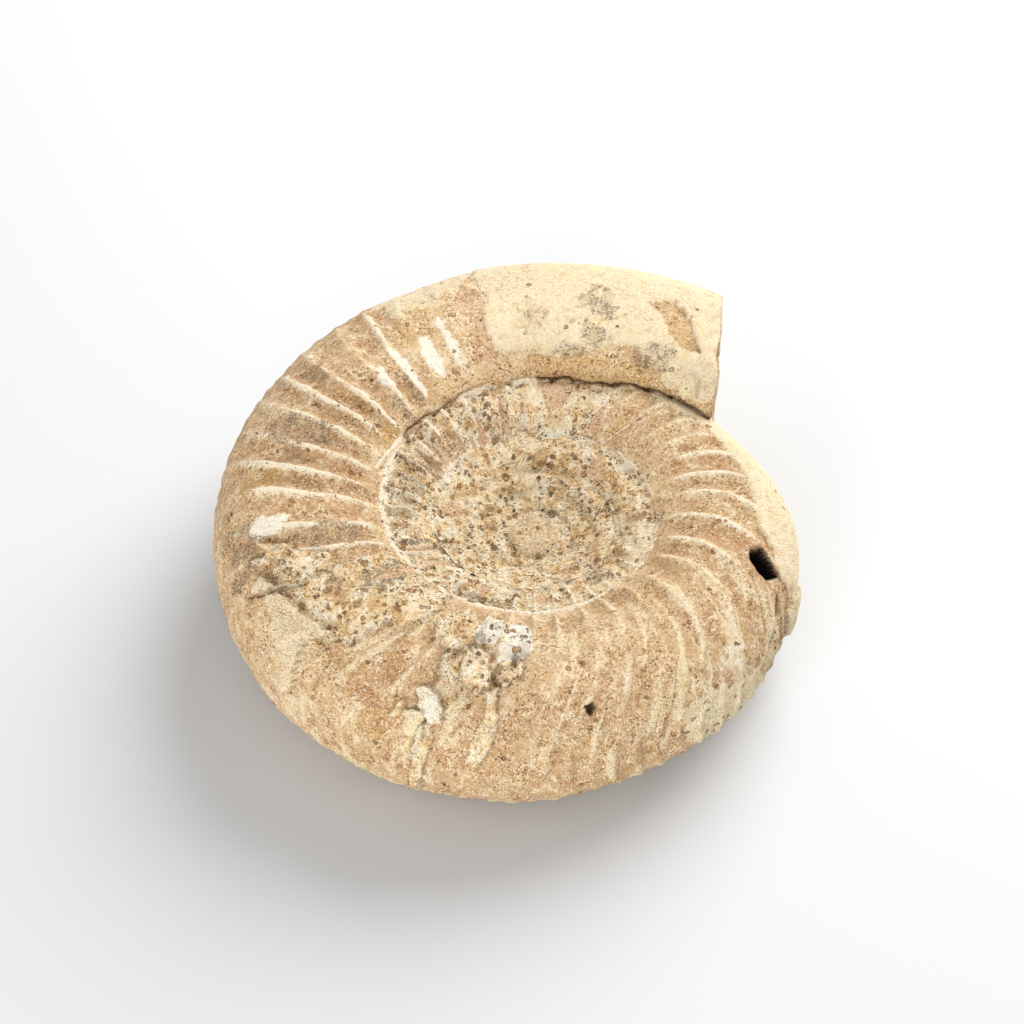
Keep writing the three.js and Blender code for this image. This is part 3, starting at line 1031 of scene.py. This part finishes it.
def add_grain():
    """Lumps all over, lower where the shell is smooth, and standing grains in the crusts."""
    smooth_here = np.clip(paint["cream"] + paint["rose"], 0.0, 1.0)
    paint["ooids"] *= 1.0 - 0.75 * smooth_here * (1.0 - paint["crust"])
    relief[:] += (lumps * (1.0 - 0.6 * smooth_here) + grit) * MM
    crusty = np.flatnonzero(paint["crust"] > 0.03)
    grains, _ = grain_bumps(points[crusty], GRAIN_SIZE, 41)
    lone_grains, pick = grain_bumps(points[crusty], LONE_GRAIN_SIZE, 51)
    grains = 0.45 * (grains - 0.35) + 0.5 * np.where(pick > 0.6, lone_grains, 0.0)
    relief[crusty] += MM * paint["crust"][crusty] * grains
    bumpy = noise(points[crusty], 2.3 * MM, 61) + 0.6 * noise(points[crusty], 1.2 * MM, 62)
    relief[crusty] += BUMP_HEIGHT * paint["crust"][crusty] * bumpy
    relief[:] = np.minimum(relief, TALLEST_LUMP)


def break_mouth():
    """The broken mouth: a thin pale wall of shell around a rougher, darker filling."""
    across, along = section_place(points, 0.0)
    reach = np.abs(across) ** SECTION_POWER + np.abs(along) ** SECTION_POWER
    reach = reach ** (1.0 / SECTION_POWER)
    wall = on_break * rise(reach + 0.03 * fine_edge, MOUTH_WALL_START, MOUTH_WALL_EDGE)
    filling = 1.0 - wall
    broken = noise(points, 4.5 * MM, 91) + 0.6 * noise(points, 1.9 * MM, 92)
    chips = noise(points * [1.0, 1.0, 0.6], 3.2 * MM, 93)
    rough = (0.9 * lumps + 2.0 * grit + 0.4 * broken) * (1.0 - 0.8 * wall) * MM
    relief[on_break] = rough[on_break]
    lay("crust", on_break * rise(broken, -0.1, 0.4) * filling, 0.8)
    lay("ooids", on_break * filling, 0.75)
    lay("brown_and_shade", on_break * rise(-broken, 0.0, 0.7), 0.8)
    lay("grey", on_break * rise(chips, 0.35, 0.6) * filling, 0.7)
    lay("ochre", on_break * rise(-chips, 0.4, 0.7) * filling, 0.7)
    lay("crest", wall, 0.85)
    lay("shade", on_break * near_to(reach - MOUTH_WALL_START, 0.012), 0.3)


add_ribs()
add_streaks()
paint_inner_turns()
add_coat()
add_stains()
add_crusts()
add_plates()
add_inner_patches()
add_stick()
add_teeth()
add_bare_shell_and_rod()
add_nucleus()
lay("chalk", mark(CHALKY_SPOT, slant=0.1, ragged=1.3), 0.45)
add_holes()
add_seam()
add_grain()
break_mouth()

# ---- the finished mesh

def lean_matrix():
    about_x = Matrix.Rotation(math.radians(LEAN_ABOUT_X), 3, "X")
    about_y = Matrix.Rotation(math.radians(LEAN_ABOUT_Y), 3, "Y")
    return np.array(about_y @ about_x)


def resting_shift():
    """Puts the coil over the origin, sunk by as much as its lowest places are worn."""
    level = points @ lean.T
    low, high = level.min(0), level.max(0)
    return np.array([-(low[0] + high[0]) / 2.0, -(low[1] + high[1]) / 2.0, -low[2] - REST_WEAR])


def make_shell():
    """The shaped mesh, lying on the floor, with its paints, thinned to the triangles allowed."""
    shaped = points + point_normals(points, faces) * relief[:, None]
    placed = shaped @ lean.T + shift
    placed[:, 2] = np.maximum(placed[:, 2], 0.0)
    mesh = bpy.data.meshes.new("ammonite_shell")
    mesh.from_pydata(placed, [], faces.tolist())
    for name in PAINTS:
        layer = mesh.attributes.new(name, "FLOAT", "POINT")
        layer.data.foreach_set("value", np.clip(paint[name], 0.0, 1.0).astype(np.float32))
    mesh.shade_smooth()
    shell = bpy.data.objects.new("ammonite_shell", mesh)
    bpy.context.scene.collection.objects.link(shell)
    bpy.context.view_layer.objects.active = shell
    thin = shell.modifiers.new("thin", "DECIMATE")
    thin.ratio = MOST_TRIANGLES / len(faces)
    bpy.ops.object.select_all(action="DESELECT")
    shell.select_set(True)
    bpy.ops.object.modifier_apply(modifier=thin.name)
    return shell


lean = lean_matrix()
shift = resting_shift()
shell = make_shell()

# ---- the stone

def colour(red, green, blue):
    """A colour given as it looks on a screen, 0 to 255."""
    def flat(value):
        value /= 255.0
        return value / 12.92 if value <= 0.04045 else ((value + 0.055) / 1.055) ** 2.4
    return (flat(red), flat(green), flat(blue), 1.0)


class Nodes:
    """Short ways to add nodes to a material."""

    def __init__(self, material):
        material.use_nodes = True
        self.tree = material.node_tree
        self.tree.nodes.clear()

    def add(self, kind, inputs=None, **settings):
        node = self.tree.nodes.new(kind)
        for key, value in settings.items():
            setattr(node, key, value)
        for key, value in (inputs or {}).items():
            if isinstance(value, bpy.types.NodeSocket):
                self.tree.links.new(value, node.inputs[key])
            else:
                node.inputs[key].default_value = value
        return node

    def math(self, operation, a, b=0.0):
        return self.add("ShaderNodeMath", {0: a, 1: b}, operation=operation).outputs[0]

    def times(self, a, b):
        return self.math("MULTIPLY", a, b)

    def vector(self, operation, a, b):
        return self.add("ShaderNodeVectorMath", {0: a, 1: b}, operation=operation).outputs[0]

    def band(self, value, low, high, start=0.0, end=1.0):
        """Goes smoothly from start to end while value goes from low to high."""
        inputs = {"Value": value, "From Min": low, "From Max": high, "To Min": start, "To Max": end}
        node = self.add("ShaderNodeMapRange", inputs, interpolation_type="SMOOTHSTEP")
        return node.outputs[0]

    def mix(self, factor, a, b, blend="MIX"):
        """Mixes two colours, each from another node or as it looks on a screen."""
        node = self.add("ShaderNodeMix", {"Factor": factor}, data_type="RGBA", blend_type=blend)
        for socket, value in ((node.inputs[6], a), (node.inputs[7], b)):
            if isinstance(value, bpy.types.NodeSocket):
                self.tree.links.new(value, socket)
            else:
                socket.default_value = colour(*value)
        return node.outputs[2]

    def noise(self, vector, size, detail=3.0, roughness=0.6, warp=0.0):
        node = self.add("ShaderNodeTexNoise", {
            "Vector": vector, "Scale": 1.0 / size, "Detail": detail, "Roughness": roughness,
            "Distortion": warp,
        })
        return node.outputs["Fac"]

    def ramp(self, value, stops):
        node = self.add("ShaderNodeValToRGB", {"Fac": value})
        elements = node.color_ramp.elements
        while len(elements) < len(stops):
            elements.new(0.5)
        for element, (place, tint) in zip(elements, stops):
            element.position = place
            element.color = colour(*tint)
        return node.outputs["Color"]

    def cells(self, vector, size, randomness):
        """Cells about size across: how far from a cell's middle, and three numbers per cell."""
        node = self.add("ShaderNodeTexVoronoi", {
            "Vector": vector, "Scale": 1.0 / size, "Randomness": randomness,
        })
        picks = self.add("ShaderNodeSeparateColor", {"Color": node.outputs["Color"]}).outputs
        return node.outputs["Distance"], picks


SAND_SIZE = 0.3 * MM
OOID_SIZE = 1.25 * MM
OOID_RIM = 0.07
OOID_BEND = 0.7 * MM

# Round grains in the rock: size, how many of the cells have one, and the smallest and largest
# reach from a cell's middle as a share of the cell.
OOIDS = [(OOID_SIZE, 0.85, 0.16, 0.42), (2.1 * MM, 0.45, 0.18, 0.38)]
OOID_COLOURS = [
    (0.0, (146, 106, 66)), (0.25, (200, 154, 100)), (0.5, (164, 126, 74)),
    (0.75, (210, 172, 124)), (0.92, (122, 90, 64)),
]
ROCK_COLOURS = [
    (0.39, (214, 176, 132)), (0.47, (228, 196, 154)), (0.54, (239, 211, 170)),
    (0.62, (250, 232, 196)),
]
CRUST_COLOURS = [
    (0.36, (212, 173, 122)), (0.43, (238, 206, 156)), (0.5, (249, 226, 184)),
    (0.62, (255, 243, 218)),
]
SAND_COLOURS = [
    (0.0, (146, 116, 82)), (0.15, (212, 194, 170)), (0.5, (248, 245, 240)),
    (0.8, (255, 255, 252)),
]

# Dark hairlines: size of their network, offset of its noise, and strength.
HAIRLINES = [(2.8 * MM, (0.1, 0.6, 0.9), 0.9), (1.7 * MM, (0.8, 0.3, 0.4), 0.6)]
HAIR_WIDTH = 0.022
BUMP_STRENGTH, BUMP_DISTANCE = 0.95, 0.9 * MM


class StoneNodes(Nodes):
    """Nodes for the limestone, with the noises and cells that several of its layers share."""

    def __init__(self, material):
        super().__init__(material)
        self.where = self.add("ShaderNodeTexCoord").outputs["Object"]
        self.blotch = self.noise(self.where, 9 * MM, detail=2.0)
        self.middle = self.spread((0.3, 0.1, 0.2), 2.2 * MM, detail=6.0, roughness=0.75)
        self.fine = self.spread((0.7, 0.4, 0.1), 0.55 * MM, detail=4.0, roughness=0.8)
        self.tint = self.spread((0.5, 0.9, 0.6), 5 * MM, detail=6.0, roughness=0.65)
        self.sand, self.sand_picks = self.cells(self.where, SAND_SIZE, 1.0)

    def spread(self, offset, size, **settings):
        """Noise at an offset of its own, so that it doesn't line up with the others."""
        return self.noise(self.vector("ADD", self.where, offset), size, **settings)

    def mask(self, name):
        """How strongly the mesh is painted with name."""
        return self.add("ShaderNodeAttribute", attribute_name=name).outputs["Fac"]

    def painted(self, stone, name, tint, wander, low=0.35, high=0.6, most=1.0):
        """Mixes in a colour where the mesh is painted, with an edge that wanders."""
        reach = self.times(self.math("SUBTRACT", wander, 0.5), 2.0)
        reach = self.math("ADD", self.mask(name), reach)
        reach = self.times(reach, self.band(self.mask(name), 0.0, 0.15))
        return self.mix(self.band(reach, low, high, 0.0, most), stone, tint)


def rock_colour(n):
    """The plain rock: warm beige, browner in the hollows between ribs, partly as painted shade."""
    place = n.math("ADD", n.times(n.blotch, 0.5), n.times(n.tint, 0.5))
    stone = n.ramp(place, ROCK_COLOURS)
    stone = n.mix(n.band(n.tint, 0.51, 0.6, 0.0, 0.5), stone, (240, 212, 154))
    brown_and_shaded_hollow = n.times(n.mask("brown_and_shade"), n.band(n.middle, 0.4, 0.6, 1.0, 0.5))
    stone = n.mix(brown_and_shaded_hollow, stone, (205, 163, 118))
    stone = n.mix(n.band(n.middle, 0.53, 0.6, 0.0, 0.75), stone, (248, 230, 196))
    return n.mix(n.band(n.middle, 0.38, 0.44, 0.6, 0.0), stone, (182, 142, 98))


def add_paints(n, stone):
    """Ochre and rosy stains, crust, the pale coat, pale crests and chalk."""
    stone = n.painted(stone, "ochre", (212, 172, 112), n.middle, most=0.7)
    rosy = n.mix(n.band(n.tint, 0.42, 0.58), (210, 170, 132), (230, 196, 160))
    stone = n.painted(stone, "rose", rosy, n.middle, most=0.85)
    patches = n.spread((0.6, 0.2, 0.5), 2.6 * MM, detail=3.0, roughness=0.55)
    stone = n.painted(stone, "crust", n.ramp(patches, CRUST_COLOURS), n.fine, 0.2, 0.5, 0.9)
    # Pale coat; on the once-covered edge the pale is partly a painted highlight.
    cream = n.mix(n.band(n.middle, 0.38, 0.5), (232, 204, 160), (243, 226, 191))
    cream = n.mix(n.band(n.tint, 0.5, 0.6, 0.0, 0.6), cream, (246, 226, 178))
    stone = n.painted(stone, "cream", cream, n.fine, 0.2, 0.5, 0.92)
    # Pale crests and edges; on the rib crests partly a painted highlight.
    stone = n.painted(stone, "crest", (253, 239, 213), n.fine, 0.25, 0.55, 0.95)
    return n.painted(stone, "chalk", (255, 248, 231), n.middle, 0.3, 0.75, 0.9)


def bent_place(n):
    """Object coordinates bent a little, so that the round grains aren't perfect."""
    wobble = n.add("ShaderNodeTexNoise", {
        "Vector": n.where, "Scale": 1.0 / (0.8 * MM), "Detail": 2.0,
    })
    wobble = n.vector("SUBTRACT", wobble.outputs["Color"], (0.5, 0.5, 0.5))
    wobble = n.add("ShaderNodeVectorMath", {0: wobble, "Scale": OOID_BEND}, operation="SCALE")
    return n.vector("ADD", n.where, wobble.outputs[0])


def add_ooids(n, stone):
    """Round bodies about a millimetre across, brown to olive, set in the paler rock. Returns the
    colour, where the grains are and where their rims are."""
    bent = bent_place(n)
    bed = n.spread((0.15, 0.35, 0.75), 5 * MM, detail=2.0)
    grain, rim = 0.0, 0.0
    for size, amount, small, large in OOIDS:
        distance, pick = n.cells(bent, size, 0.95)
        crowd = n.times(n.band(bed, 0.4, 0.56, 0.3, 1.0), n.times(n.mask("ooids"), amount))
        chosen = n.math("LESS_THAN", pick[0], crowd)
        depth = n.math("SUBTRACT", n.band(pick[1], 0.0, 1.0, small, large), distance)
        inside = n.times(n.band(depth, 0.0, 0.04), chosen)
        stone = n.mix(n.times(inside, 0.92), stone, n.ramp(pick[2], OOID_COLOURS))
        rim_width = OOID_RIM * OOID_SIZE / size
        edge = n.times(n.band(n.math("ABSOLUTE", depth), 0.0, rim_width, 1.0, 0.0), chosen)
        stone = n.mix(n.times(edge, 0.85), stone, (96, 68, 44))
        grain = n.math("MAXIMUM", grain, inside)
        rim = n.math("MAXIMUM", rim, edge)
    return stone, grain, rim


def add_sand(n, stone):
    """Every small grain of the rock a little lighter or darker than the next, and dirt between."""
    coat = n.math("MAXIMUM", n.mask("chalk"), n.mask("crest"))
    coat = n.math("MAXIMUM", n.mask("cream"), coat)
    less_on_coat = n.band(coat, 0.0, 1.0, 1.0, 0.3)
    gritty = n.spread((0.9, 0.2, 0.4), 4 * MM, detail=4.0, roughness=0.7)
    gritty = n.band(gritty, 0.4, 0.58, 0.45, 1.0)
    shade = n.ramp(n.sand_picks[0], SAND_COLOURS)
    stone = n.mix(n.times(less_on_coat, gritty), stone, shade, "MULTIPLY")
    bright = n.times(n.math("GREATER_THAN", n.sand_picks[1], 0.87), gritty)
    stone = n.mix(n.times(bright, 0.6), stone, (254, 240, 214))
    dirt = n.times(n.band(n.fine, 0.38, 0.43, 1.0, 0.0), n.band(n.blotch, 0.44, 0.58, 0.1, 0.8))
    return n.mix(n.times(dirt, less_on_coat), stone, (146, 108, 68))


def add_grey(n, stone):
    """Grey stains, as a veil with crowded dark specks in it."""
    reach = n.times(n.math("SUBTRACT", n.middle, 0.5), 2.5)
    reach = n.math("ADD", n.mask("grey"), reach)
    stained = n.times(n.band(reach, 0.2, 0.6), n.band(n.mask("grey"), 0.02, 0.2))
    stone = n.mix(n.times(stained, 0.3), stone, (172, 142, 108))
    crowd = n.spread((0.2, 0.5, 0.3), 1.6 * MM, detail=3.0)
    crowd = n.band(crowd, 0.38, 0.6, 0.12, 0.75)
    specks = n.times(n.math("LESS_THAN", n.sand_picks[2], crowd), stained)
    speck_colour = n.mix(n.sand_picks[0], (88, 74, 62), (160, 136, 108))
    return n.mix(n.times(specks, 0.72), stone, speck_colour)


def add_hairlines(n, stone):
    """Dark hairlines, as broken bits of a network."""
    for size, offset, strength in HAIRLINES:
        warped = n.spread(offset, size, detail=3.0, roughness=0.6, warp=1.5)
        off_line = n.math("ABSOLUTE", n.math("SUBTRACT", warped, 0.5))
        hair = n.band(off_line, 0.0, HAIR_WIDTH, 1.0, 0.0)
        hair = n.times(hair, n.band(n.tint, 0.49, 0.54))
        hair = n.times(hair, n.band(n.mask("ooids"), 0.2, 0.8, 0.12, 1.0))
        stone = n.mix(n.times(hair, strength), stone, (108, 86, 68))
    return stone


def add_shade(n, stone):
    """Painted shade in cracks, holes, the seam and at patch edges; nearly black where strongest."""
    stone = n.mix(n.mask("shade"), stone, (74, 48, 28))
    return n.mix(n.band(n.mask("shade"), 0.8, 1.0), stone, (30, 18, 10))


def bump_normal(n, grain, rim):
    """Fine bumps of the sand and the rock, with the round grains proud and their rims sunk."""
    bumps = n.math("ADD", n.times(n.fine, 0.8), n.times(n.sand, -0.35))
    for field, height in ((n.middle, 1.0), (grain, 0.2), (rim, -0.25)):
        bumps = n.math("ADD", bumps, n.times(field, height))
    return n.add("ShaderNodeBump", {
        "Strength": BUMP_STRENGTH, "Distance": BUMP_DISTANCE, "Height": bumps,
    }).outputs[0]


def stone_material():
    material = bpy.data.materials.new("fossil_limestone")
    n = StoneNodes(material)
    stone = add_paints(n, rock_colour(n))
    stone, grain, rim = add_ooids(n, stone)
    stone = add_sand(n, stone)
    stone = add_grey(n, stone)
    stone = add_hairlines(n, stone)
    stone = add_shade(n, stone)
    shader = n.add("ShaderNodeBsdfPrincipled", {
        "Base Color": stone, "Roughness": n.band(n.fine, 0.3, 0.7, 0.78, 0.95),
        "Normal": bump_normal(n, grain, rim), "Specular IOR Level": 0.25,
    })
    n.add("ShaderNodeOutputMaterial", {"Surface": shader.outputs[0]})
    return material


shell.data.materials.append(stone_material())
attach(shell, "root")
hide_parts("ammonite")

# ---- floor, light and camera

FLOOR_HALF_SIZE = 12.0
FLOOR_COLOUR = (0.55, 0.555, 0.56, 1.0)
SKY_STRENGTH = 0.54

# Lamps: name, direction from the fossil, distance, diameter and watts.
LAMPS = [
    ("key", (0.58, 0.78, 0.72), 0.7, 0.65, 9.2),
    ("fill", (-0.45, -1.0, 0.24), 0.9, 0.6, 10.4),
]

CAMERA_ELEVATION = math.radians(49.0)
CAMERA_DISTANCE = 559.7 * MM
LENS = 105.47
SENSOR_WIDTH = 36.0
# The frame is moved off the lens's middle by these shares of its width.
SHIFT_RIGHT, SHIFT_UP = -0.0205, 0.0342


def add_floor():
    size = FLOOR_HALF_SIZE
    data = bpy.data.meshes.new("floor")
    corners = [(-size, -size, 0), (size, -size, 0), (size, size, 0), (-size, size, 0)]
    data.from_pydata(corners, [], [(0, 1, 2, 3)])
    floor = bpy.data.objects.new("floor", data)
    bpy.context.scene.collection.objects.link(floor)
    material = bpy.data.materials.new("floor_white")
    n = Nodes(material)
    shader = n.add("ShaderNodeBsdfPrincipled", {"Base Color": FLOOR_COLOUR, "Roughness": 0.9})
    n.add("ShaderNodeOutputMaterial", {"Surface": shader.outputs[0]})
    data.materials.append(material)


def add_sky():
    world = bpy.data.worlds.new("studio")
    bpy.context.scene.world = world
    world.use_nodes = True
    sky = world.node_tree.nodes["Background"]
    sky.inputs["Color"].default_value = (1.0, 1.0, 1.0, 1.0)
    sky.inputs["Strength"].default_value = SKY_STRENGTH


def add_lamps():
    middle = (Vector(box_low) + Vector(box_high)) / 2.0
    for name, way, distance, diameter, power in LAMPS:
        lamp = bpy.data.lights.new(name, "AREA")
        lamp.shape = "DISK"
        lamp.size = diameter
        lamp.energy = power
        holder = bpy.data.objects.new(name, lamp)
        direction = Vector(way).normalized()
        holder.location = middle + direction * distance
        holder.rotation_euler = (-direction).to_track_quat("-Z", "Y").to_euler()
        bpy.context.scene.collection.objects.link(holder)


def add_camera():
    """Looks down on the coil's side, with the broken mouth at the upper right."""
    towards = Vector((0.0, -math.cos(CAMERA_ELEVATION), math.sin(CAMERA_ELEVATION)))
    right = Vector((1.0, 0.0, 0.0))
    up = towards.cross(right)
    turn = Matrix(lean.tolist()) @ Matrix((right, up, towards)).transposed()
    place = Vector(lean @ np.array(towards * CAMERA_DISTANCE) + shift)
    data = bpy.data.cameras.new("camera")
    data.lens = LENS
    data.sensor_width = SENSOR_WIDTH
    data.shift_x = SHIFT_RIGHT
    data.shift_y = SHIFT_UP
    camera = bpy.data.objects.new("camera", data)
    camera.matrix_world = Matrix.Translation(place) @ turn.to_4x4()
    bpy.context.scene.collection.objects.link(camera)
    bpy.context.scene.camera = camera


add_floor()
add_sky()
add_lamps()
add_camera()
bpy.context.scene.view_settings.view_transform = "Standard"
